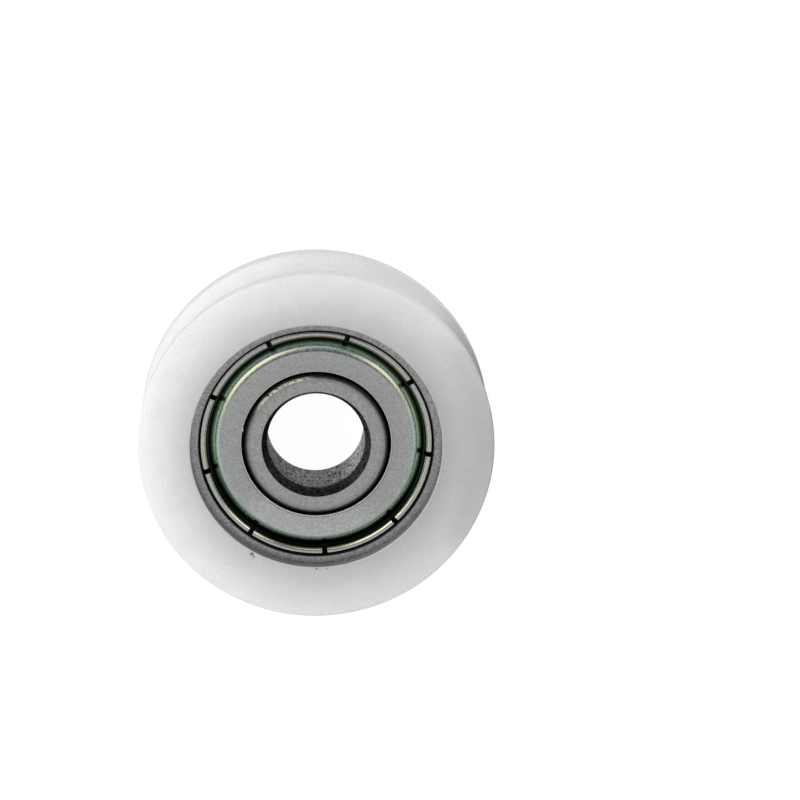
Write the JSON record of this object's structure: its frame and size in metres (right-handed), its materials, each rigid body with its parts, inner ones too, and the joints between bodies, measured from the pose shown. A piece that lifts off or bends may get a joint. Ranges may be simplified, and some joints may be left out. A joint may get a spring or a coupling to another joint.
{
  "type": "u-groove pulley wheel",
  "caption": "U-groove pulley wheel: a moulded plastic wheel with a rounded groove around its rim, held on a shielded ball bearing that turns on an axle.",
  "frame": {"origin": "middle of the bore, halfway between the wheel's two faces", "axes": "+Z along the axle line out of the front face; +X and +Y across the wheel, which lies flat on its back face"},
  "size_m": [0.029, 0.029, 0.009],
  "materials": {
    "nylon": "moulded white nylon, satin",
    "ring_steel": "ground bearing steel",
    "ball_steel": "polished bearing balls",
    "cage_steel": "pressed steel strip",
    "shield_steel": "pressed zinc-plated sheet with a yellow-green tint in its folds"
  },
  "bodies": {
    "inner_ring": {"inner_ring": "ring_steel"},
    "wheel": {"wheel_body": "nylon", "outer_ring": "ring_steel", "shield_front": "shield_steel", "shield_back": "shield_steel"},
    "cage": {"cage_front": "cage_steel", "cage_back": "cage_steel", "cage_rivets": "cage_steel"},
    "ball_1": {"ball_1": "ball_steel"},
    "ball_2": {"ball_2": "ball_steel"},
    "ball_3": {"ball_3": "ball_steel"},
    "ball_4": {"ball_4": "ball_steel"},
    "ball_5": {"ball_5": "ball_steel"},
    "ball_6": {"ball_6": "ball_steel"},
    "ball_7": {"ball_7": "ball_steel"}
  },
  "joints": [
    {"name": "wheel_spin", "type": "hinge", "parent": "inner_ring", "child": "wheel", "pos_m": [0, 0, 0], "axis": [0, 0, 1], "continuous": true},
    {"name": "cage_orbit", "type": "hinge", "parent": "inner_ring", "child": "cage", "pos_m": [0, 0, 0], "axis": [0, 0, 1], "continuous": true},
    {"name": "ball_1_spin", "type": "hinge", "parent": "cage", "child": "ball_1", "pos_m": [0.0075, 0, 0], "axis": [0, 0, 1], "continuous": true},
    {"name": "ball_2_spin", "type": "hinge", "parent": "cage", "child": "ball_2", "pos_m": [0.00468, 0.00586, 0], "axis": [0, 0, 1], "continuous": true},
    {"name": "ball_3_spin", "type": "hinge", "parent": "cage", "child": "ball_3", "pos_m": [-0.00167, 0.00731, 0], "axis": [0, 0, 1], "continuous": true},
    {"name": "ball_4_spin", "type": "hinge", "parent": "cage", "child": "ball_4", "pos_m": [-0.00676, 0.00325, 0], "axis": [0, 0, 1], "continuous": true},
    {"name": "ball_5_spin", "type": "hinge", "parent": "cage", "child": "ball_5", "pos_m": [-0.00676, -0.00325, 0], "axis": [0, 0, 1], "continuous": true},
    {"name": "ball_6_spin", "type": "hinge", "parent": "cage", "child": "ball_6", "pos_m": [-0.00167, -0.00731, 0], "axis": [0, 0, 1], "continuous": true},
    {"name": "ball_7_spin", "type": "hinge", "parent": "cage", "child": "ball_7", "pos_m": [0.00468, -0.00586, 0], "axis": [0, 0, 1], "continuous": true}
  ],
  "couplings": [
    {"joint": "cage_orbit", "follows": "wheel_spin", "ratio": 0.6323},
    {"joint": "ball_1_spin", "follows": "wheel_spin", "ratio": 1.7573},
    {"joint": "ball_2_spin", "follows": "wheel_spin", "ratio": 1.7573},
    {"joint": "ball_3_spin", "follows": "wheel_spin", "ratio": 1.7573},
    {"joint": "ball_4_spin", "follows": "wheel_spin", "ratio": 1.7573},
    {"joint": "ball_5_spin", "follows": "wheel_spin", "ratio": 1.7573},
    {"joint": "ball_6_spin", "follows": "wheel_spin", "ratio": 1.7573},
    {"joint": "ball_7_spin", "follows": "wheel_spin", "ratio": 1.7573}
  ]
}
